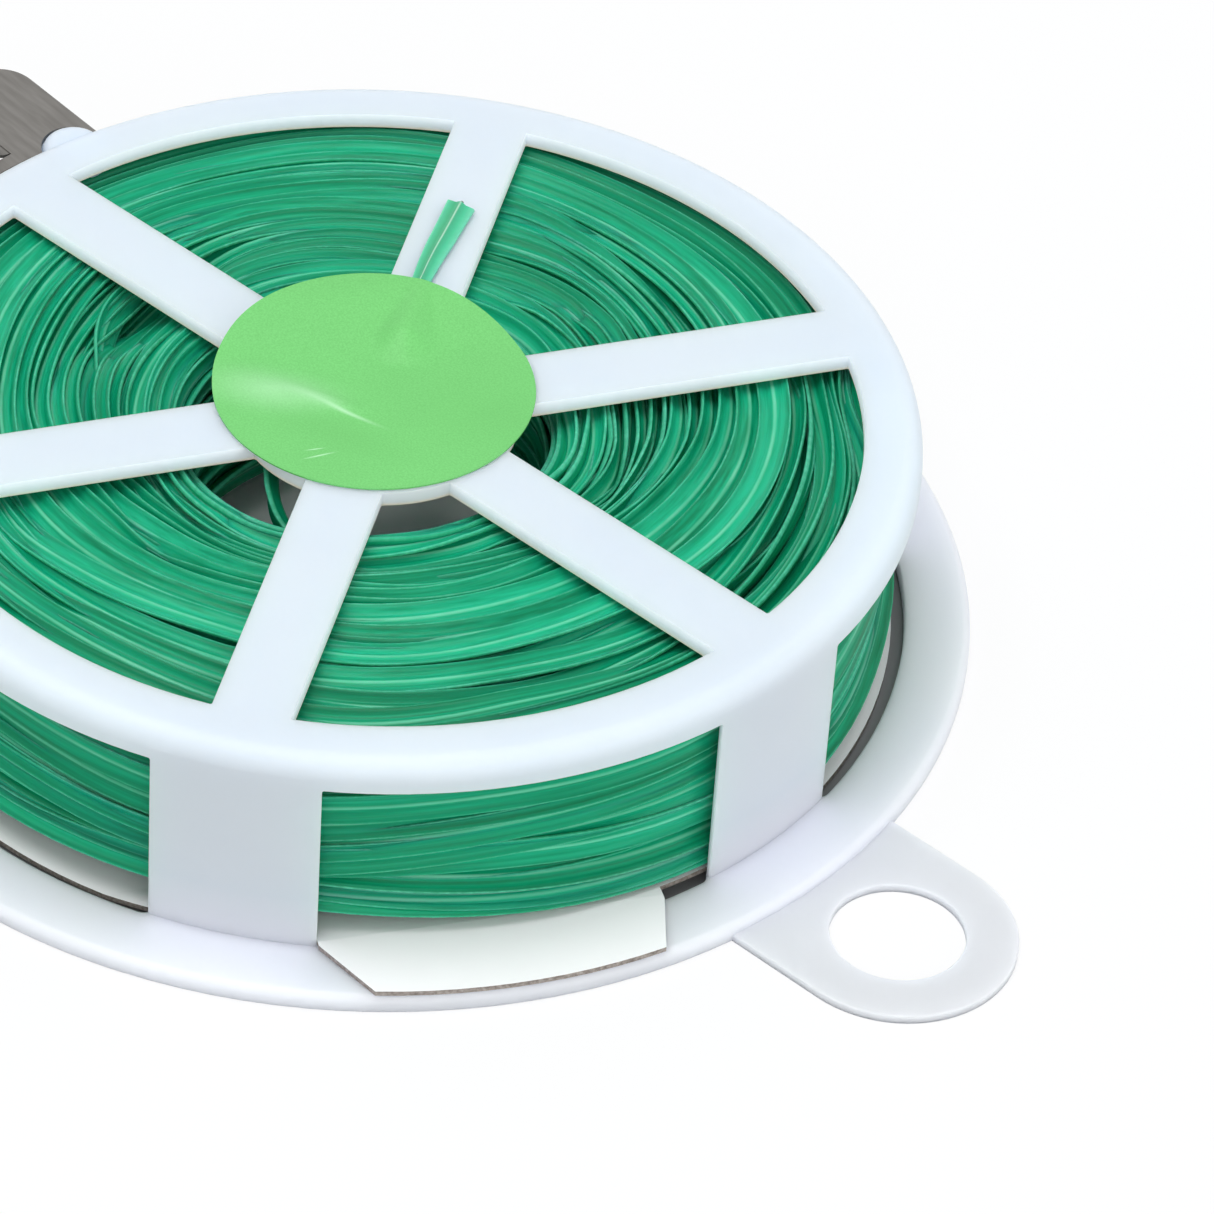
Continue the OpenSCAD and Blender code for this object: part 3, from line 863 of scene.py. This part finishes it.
# Hollows in the top of the coil: angle, radius, half width in degrees, half width in mm, depth in mm
HOLLOWS = [
    (-176, 30.5, 17, 3.0, 5.0),
    (-32, 21.3, 40, 1.3, 2.6),
    (30, 25.2, 16, 1.2, 1.8),
    (-100, 30.0, 14, 1.0, 1.5),
    (-110, 38.5, 12, 1.0, 1.2),
    (-20, 41.5, 16, 1.0, 1.4),
    (-108, 24.6, 20, 0.8, 1.5),
]
# Where turns are pushed outwards or, below 0, inwards: which turns, angle, half width in degrees, mm
PUSHES = [
    ("outer_high", 52, 11, -3.2),
    ("outer", 29, 16, -0.85),
    ("eye", -103, 42, 2.5),
    ("eye_low", 178, 45, -2.6),
]


def bunches(length, side_start, looser):
    """The turns of a layer, in bunches that lie on each other like fallen cards: the steeper they
    lean, the closer they lie. Gives each turn's place along the layer's section, its lean in degrees,
    its depth in mm, its shade and its waves in mm."""
    rows = []
    at = 0.0
    while at < length + 6 * MM:
        back_share, steeper, widest, usual_deep, first_deep = ON_SIDE if at > side_start else ON_TOP
        lean = rng.uniform(5, 30)
        pitch = 0.62 * MM / math.sin(math.radians(lean))
        pitch = min(min(max(pitch, 1.25 * MM), 2.35 * MM) * looser, widest)
        if rng.random() < back_share:
            lean = -lean
        lean *= steeper
        slide = rng.normal(0, 0.3, (2, WAVES)) / np.sqrt(WAVE_NUMBERS)
        lift = rng.normal(0, 0.14, (2, WAVES)) / np.sqrt(WAVE_NUMBERS)
        hue = rng.uniform(0.2, 0.8)
        for i in range(int(rng.integers(2, 7))):
            own = rng.normal(0, 0.065, (2, WAVES))
            deep = abs(rng.normal(0, usual_deep))
            if i == 0:
                deep += rng.uniform(0.1, first_deep)
            tone = min(max(hue + rng.normal(0, 0.2), 0), 1)
            waves = np.stack([slide + own, lift + own[::-1]])
            rows.append((at, lean + rng.normal(0, 6), deep, tone, waves))
            at += pitch * (1 + rng.normal(0, 0.08))
        at += rng.uniform(0.0, 0.25) * MM
    return [np.array(column) for column in zip(*rows)]


def layer_section(depth):
    """The line that a layer follows in the coil's section: up the eye, out over the top and down the
    outside. Gives its length, where its outside starts, and its radius, height and slope as a function."""
    out_r = COIL_R - SKIN - depth
    in_r = EYE_R + EYE_SKIN + depth
    top = COIL_TOP - SKIN - depth
    up = top - EYE_ROUND - LOWEST
    flat = (out_r - SHOULDER) - (in_r + EYE_ROUND)
    down = top - SHOULDER - LOWEST
    eye_bend = EYE_ROUND * math.pi / 2
    outer_bend = SHOULDER * math.pi / 2
    flat_start = up + eye_bend
    flat_end = flat_start + flat
    side_start = flat_end + outer_bend
    length = side_start + down

    def at(distance):
        s = np.clip(distance, 0, length)
        t1 = rise(s, up, eye_bend) * math.pi / 2
        t2 = rise(s, flat_end, outer_bend) * math.pi / 2
        r = in_r + EYE_ROUND * (1 - np.cos(t1)) + np.clip(s - flat_start, 0, flat) + SHOULDER * np.sin(t2)
        z = LOWEST + np.clip(s, 0, up) + EYE_ROUND * np.sin(t1)
        z -= SHOULDER * (1 - np.cos(t2)) + np.clip(s - side_start, 0, down)
        return r, z, t1 + t2

    return length, side_start, at


def wound_layer(name, depth, looser):
    """One layer of turns round the coil, as one long tie."""
    length, side_start, section_at = layer_section(depth)
    place, lean, sunk, tone, waves = bunches(length, side_start, looser)
    turns = int(np.searchsorted(place, length))
    steps = 120
    count = turns * steps + 1
    turn = np.arange(count) / steps
    theta = turn * 360
    th = np.radians(theta)

    def along_turns(values):
        return np.interp(turn, np.arange(len(place)), values)

    r, z, slope = section_at(along_turns(place))
    tangent = np.stack([np.sin(slope), np.cos(slope)], axis=1)
    outward = np.stack([-np.cos(slope), np.sin(slope)], axis=1)
    on_top = np.clip(np.sin(slope), 0, 1)
    on_side = (slope > math.pi / 2).astype(float) * (1 - on_top)
    r = r + np.interp(r, LOOP_R, LOOP_OFFSET) * np.cos(th - LOOP_RAD)
    middle = z - SWAY_Z
    fade = np.tanh(middle / (2 * MM)) * np.clip(1 - (middle / (9 * MM)) ** 2, 0, 1)
    z = z + SWAY * np.sin(2 * (th + SWAY_RAD)) * fade * on_side

    roll = rng.normal(0, 6, (len(place), 2))
    share = np.interp(angle_from(theta, 0), LEAN_DEG, LEAN_SHARE)
    tilt = along_turns(lean) * (1 + (share - 1) * on_top)
    fall = np.cos(th - FALL_RAD)
    tilt += (-np.abs(tilt) * fall - tilt) * FALLEN * fall**2 * on_top
    tilt += along_turns(roll[:, 0]) * np.cos(2 * th) + along_turns(roll[:, 1]) * np.sin(3 * th)
    tilt = np.radians(tilt)

    slide = np.zeros(count)
    wander = -along_turns(sunk) * MM - TIE_W / 2 * np.abs(np.sin(tilt))
    for k in range(WAVES):
        for part, wave in enumerate((np.cos((k + 1) * th), np.sin((k + 1) * th))):
            slide += along_turns(waves[:, 0, part, k]) * wave * MM
            wander += along_turns(waves[:, 1, part, k]) * wave * MM
    wander = np.minimum(wander, 0)
    for centre, radius, half_deg, half_r, deep in HOLLOWS:
        dip = bell(angle_from(theta, centre), half_deg) * bell(r - radius * MM, half_r * MM)
        wander = wander - deep * MM * dip * on_top
    wander *= 1 - FOOT_SHARE * on_side * drop(z, FOOT_Z, 3.5 * MM)

    outer = rise(r, 44 * MM, 8 * MM)
    eye = drop(r, 27 * MM, 9 * MM)
    which = {"outer": outer, "eye": eye}
    which["outer_high"] = outer * (z > SWAY_Z)
    which["eye_low"] = eye * drop(z, 13 * MM, 8 * MM)
    r2 = r + outward[:, 0] * wander + tangent[:, 0] * slide
    for where, centre, half_deg, push in PUSHES:
        r2 += push * MM * bell(angle_from(theta, centre), half_deg) * which[where]
    z2 = z + outward[:, 1] * wander + tangent[:, 1] * slide
    r2 = np.clip(r2, EYE_R - 4 * MM, COIL_R - SKIN - depth)
    z2 = np.clip(z2, COIL_LOW + 0.6 * MM, COIL_TOP - SKIN - depth)
    wide = tangent * np.cos(tilt)[:, None] + outward * np.sin(tilt)[:, None]
    c, sn = np.cos(th), np.sin(th)
    centres = np.stack([r2 * c, r2 * sn, z2], axis=1)
    across = np.stack([wide[:, 0] * c, wide[:, 0] * sn, wide[:, 1]], axis=1)
    return sweep(name, centres, across, GREEN, along_turns(tone))


def smooth_path(points):
    """A smoother run of points: each round cuts every corner."""
    for _ in range(4):
        a = 0.75 * points[:-1] + 0.25 * points[1:]
        b = 0.25 * points[:-1] + 0.75 * points[1:]
        points = np.concatenate([points[:1], np.stack([a, b], axis=1).reshape(-1, 3), points[-1:]])
    return points


def single_strand(name, controls, tone):
    """A length of tie by itself. Each control is an angle, a radius, a height and a tilt, in degrees
    and mm."""
    controls = np.array(controls, float)
    cylinder = smooth_path(controls[:, :3])
    share = np.linspace(0, 1, len(cylinder))
    tilt = np.radians(np.interp(share, np.linspace(0, 1, len(controls)), controls[:, 3]))
    a = np.radians(cylinder[:, 0])
    r, z = cylinder[:, 1] * MM, cylinder[:, 2] * MM
    centres = np.stack([r * np.cos(a), r * np.sin(a), z], axis=1)
    across = np.stack([np.cos(tilt) * np.cos(a), np.cos(tilt) * np.sin(a), np.sin(tilt)], axis=1)
    return sweep(name, centres, across, GREEN, tone)


def coil_heart():
    """A plain ring inside the layers, so that no light comes through between them."""
    low = COIL_LOW + 0.6 * MM
    high = COIL_TOP - 9 * MM
    in_r, shoulder_r, out_r = EYE_R + 6.5 * MM, COIL_R - 14 * MM, COIL_R - 6 * MM
    profile = [(in_r, low), (in_r, high), (shoulder_r, high), (out_r, high), (out_r, low)]
    steps = 72
    points, faces = [], []
    for i, (r, z) in enumerate(profile):
        points += [polar(r, 360 * k / steps, z) for k in range(steps)]
        faces += band(i * steps, (i + 1) % len(profile) * steps, steps)
    piece = link("coil_heart", mesh_from("coil_heart", points, faces))
    face_outwards(piece)
    smooth(piece)
    dress(piece, GREEN)
    return piece


def coil():
    """The layers of turns, a turn that bulges out of the hollow at the left, and the inner end."""
    bulge = [
        (160, 36.5, 19.0, 40),
        (170, 35.4, 20.2, 45),
        (180, 34.0, 20.8, 50),
        (188, 33.6, 20.9, 55),
        (196, 32.2, 20.8, 55),
        (206, 29.4, 20.6, 50),
        (219, 27.2, 20.4, 45),
        (235, 26.0, 19.6, 40),
        (250, 25.5, 18.6, 40),
    ]
    inner_end = [
        (-40, 17.6, 17.0, 50),
        (-60, 17.8, 19.0, 60),
        (-75, 17.2, 20.4, 70),
        (-88, 14.8, 21.0, 80),
        (-103, 12.0, 21.2, 80),
        (-125, 10.0, 21.2, 70),
        (-150, 9.6, 21.2, 60),
    ]
    pieces = []
    for i in range(LAYERS):
        pieces.append(wound_layer(f"coil_layer_{i + 1}", i * LAYER_DEPTH, 1 + i * LAYER_LOOSER))
    pieces.append(single_strand("coil_bulging_turn", bulge, 0.7))
    # The inner end takes the darkest tone: painted shade, for it lies deep in the eye
    pieces.append(single_strand("coil_inner_end", inner_end, 0.0))
    pieces.append(coil_heart())
    for piece in pieces:
        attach(piece, "coil")
    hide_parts("coil_winding", "coil_core")


# ---------------------------------------------------------------- sticker and loose end
LABEL_C = Vector(((label_low.x + label_high.x) / 2, (label_low.y + label_high.y) / 2))
LABEL_R = (label_high.x - label_low.x) / 2


def label_lift(x, y):
    """Height of the sticker over the hub: its back left stands up, the tie under it lifts a fold, and
    a crease runs in from the left."""
    most = label_high.z - CASE_H - LABEL_T - 0.15 * MM
    at = Vector((x, y))
    a = math.radians(150)
    t = rise(((x - LABEL_C.x) * math.cos(a) + (y - LABEL_C.y) * math.sin(a)) / LABEL_R, 0.15, 0.8)
    stands_up = most * t * t * (3 - 2 * t)

    start, end = Vector((-14.5 * MM, -9 * MM)), Vector((-0.5 * MM, -2.5 * MM))
    way = (end - start).normalized()
    u = (at - start).dot(way) / (end - start).length
    v = (at - start).dot(Vector((-way.y, way.x)))
    width = (2.6 - 1.9 * rise(u, 0, 1)) * MM
    crease = 0.42 * MM * bell(v, width) * drop(u, 1.12, 0.3) * rise(u, -0.3, 0.4)

    tie_way = Vector(polar(1, TIE_END_DEG, 0)[:2])
    beside = at.dot(Vector((-tie_way.y, tie_way.x)))
    over_tie = most * bell(beside, 2.6 * MM) * rise(at.dot(tie_way), 6 * MM, 4 * MM)
    return max(stands_up + crease, over_tie)


def label():
    """The sticker: an upper and a lower disc of rings of points, and its rim."""
    rings, steps = 30, 144
    points, faces = [], []
    for level in (LABEL_T, 0.02 * MM):
        for i in range(1, rings + 1):
            r = LABEL_R * i / rings
            for k in range(steps):
                a = 2 * math.pi * k / steps
                x, y = LABEL_C.x + r * math.cos(a), LABEL_C.y + r * math.sin(a)
                points.append((x, y, CASE_H + level + label_lift(x, y)))
        points.append((*LABEL_C, CASE_H + level + label_lift(*LABEL_C)))
    per = rings * steps + 1
    for start in (0, per):
        for k in range(steps):
            m = (k + 1) % steps
            faces.append((start + per - 1, start + k, start + m))
            for i in range(rings - 1):
                a = start + i * steps
                faces.append((a + k, a + steps + k, a + steps + m, a + m))
    rim = (rings - 1) * steps
    for k in range(steps):
        m = (k + 1) % steps
        faces.append((rim + k, per + rim + k, per + rim + m, rim + m))
    piece = link("sticker", mesh_from("sticker", points, faces))
    face_outwards(piece)
    smooth(piece, 60)
    dress(piece, STICKER)
    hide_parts("hub_label")
    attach(piece, "case")


def loose_end():
    """The end of the tie on its spoke: narrow where it comes out from under the sticker, then its two
    wings spread from the wire, and the cut runs aslant."""
    line = [(15.5, 0.8), (17, 0.7), (19.8, 0.55), (24, 0.45), (29, 0.0), (33.9, -0.35)]
    points = smooth_path(np.array([(u * MM, v * MM, CASE_H + 0.42 * MM) for u, v in line]))
    turn = Matrix.Rotation(math.radians(TIE_END_DEG), 3, "Z")
    centres = np.array([turn @ Vector(p) for p in points])
    across = np.tile(np.array(turn @ Vector((0, -1, 0))), (len(centres), 1))
    spread = np.interp(points[:, 0] / MM, [15, 19.8, 27, 33.9], [0.5, 0.6, 0.85, 0.97])
    piece = sweep("tie_end", centres, across, BRIGHT_GREEN, 1.0, spread, FLAT_SECTION)
    way = turn @ Vector((1, 0, 0))
    for vertex, side in zip(piece.data.vertices, piece.data.attributes["across"].data):
        near_cut = rise(vertex.co.dot(way) / MM, 31, 2.9)
        vertex.co -= way * (0.35 * MM * side.value * near_cut)
    smooth(piece, 50)
    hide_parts("loose_tie_end")
    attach(piece, "case")


# ---------------------------------------------------------------- floor, lights, camera
def lay_floor():
    """A white floor, with painted shade under the reel: a dark grey disc there. What the camera sees of the
    white glows, and the object still throws its shadow."""
    half = 3.0
    corners = [(-half, -half, 0), (half, -half, 0), (half, half, 0), (-half, half, 0)]
    floor = link("floor", mesh_from("floor", corners, [(0, 1, 2, 3)]))
    s = Shader("floor_white", Roughness=0.9, Specular_IOR_Level=0.0)
    outside = s.maths("GREATER_THAN", s.length(s.place()), UNDER_POSTS_R)
    # Painted shade: dark grey under the reel, seen only through its gaps
    s.feed("Base Color", s.mix(outside, (0.3, 0.3, 0.3, 1), (0.84, 0.85, 0.86, 1)))
    glow = s.node("ShaderNodeEmission", {"Color": (1, 1, 1, 1), "Strength": 1.0})
    lift = s.maths("MULTIPLY", s.maths("MULTIPLY", s.seen(), 0.85), outside)
    both = s.node("ShaderNodeMixShader", {0: lift, 1: s.main.outputs[0], 2: glow.outputs[0]})
    s.tree.links.new(both.outputs[0], s.out.inputs[0])
    dress(floor, s.material)


def light_world(scene):
    """A plain pale light from all round, with white where the camera sees it."""
    scene.world = bpy.data.worlds.new("studio")
    scene.world.use_nodes = True
    w = Nodes(scene.world.node_tree)
    plain = w.node("ShaderNodeBackground", {"Color": (0.95, 0.98, 1.0, 1), "Strength": 0.6})
    white = w.node("ShaderNodeBackground", {"Color": (1, 1, 1, 1), "Strength": 1.0})
    both = w.node("ShaderNodeMixShader", {0: w.seen(), 1: plain.outputs[0], 2: white.outputs[0]})
    w.node("ShaderNodeOutputWorld", {"Surface": both.outputs[0]})


def hang_lamps(scene):
    """Round lamps that all look at the case: place, diameter and power."""
    aim = Vector((0, 0, 0.01))
    for name, place, size, power in (
        ("overhead", (-0.1, -0.2, 1.25), 1.0, 8.9),
        ("front_fill", (1.0, -0.8, 0.8), 1.2, 4.2),
        ("right_fill", (1.3, 0.35, 0.45), 0.9, 3.0),
    ):
        light = bpy.data.lights.new(name, "AREA")
        light.shape = "DISK"
        light.size = size
        light.energy = power
        holder = bpy.data.objects.new(name, light)
        scene.collection.objects.link(holder)
        holder.location = place
        holder.rotation_euler = (aim - Vector(place)).to_track_quat("-Z", "Y").to_euler()


def set_camera(scene):
    """The photo's view, as fitted to the circles of the ring and the flange. Angles in radians."""
    data = bpy.data.cameras.new("camera")
    data.lens = 187.34
    data.sensor_width = 36
    data.clip_start = 0.01
    data.clip_end = 20
    camera = bpy.data.objects.new("camera", data)
    scene.collection.objects.link(camera)
    scene.camera = camera
    azimuth, elevation, roll = 0.6960, 0.7025, 0.0728
    distance, aside, upward, lift = 0.64986, 0.02436, -0.00153, 0.0004
    flat = math.cos(elevation)
    back = Vector((math.sin(azimuth) * flat, -math.cos(azimuth) * flat, math.sin(elevation)))
    right = Vector((math.cos(azimuth), math.sin(azimuth), 0))
    up = back.cross(right)
    right_rolled = math.cos(roll) * right + math.sin(roll) * up
    up_rolled = -math.sin(roll) * right + math.cos(roll) * up
    place = back * distance + right_rolled * aside + up_rolled * upward + Vector((0, 0, lift))
    turn = Matrix((right_rolled, up_rolled, back)).transposed().to_4x4()
    camera.matrix_world = Matrix.Translation(place) @ turn


# ---------------------------------------------------------------- build
scene = bpy.context.scene
scene.view_settings.view_transform = "Standard"
lay_floor()
light_world(scene)
hang_lamps(scene)
set_camera(scene)
white_case()
coil()
label()
loose_end()
for name, material, slot in (
    ("backing_card", BOARD, "card"),
    ("hub_label", STICKER, "label"),
    ("loose_tie_end", GREEN, "tie_plastic"),
    ("loose_tie_wire", STEEL, "tie_wire"),
    ("cutter_plate", STEEL, "cutter_steel"),
):
    dress(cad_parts[name], material)
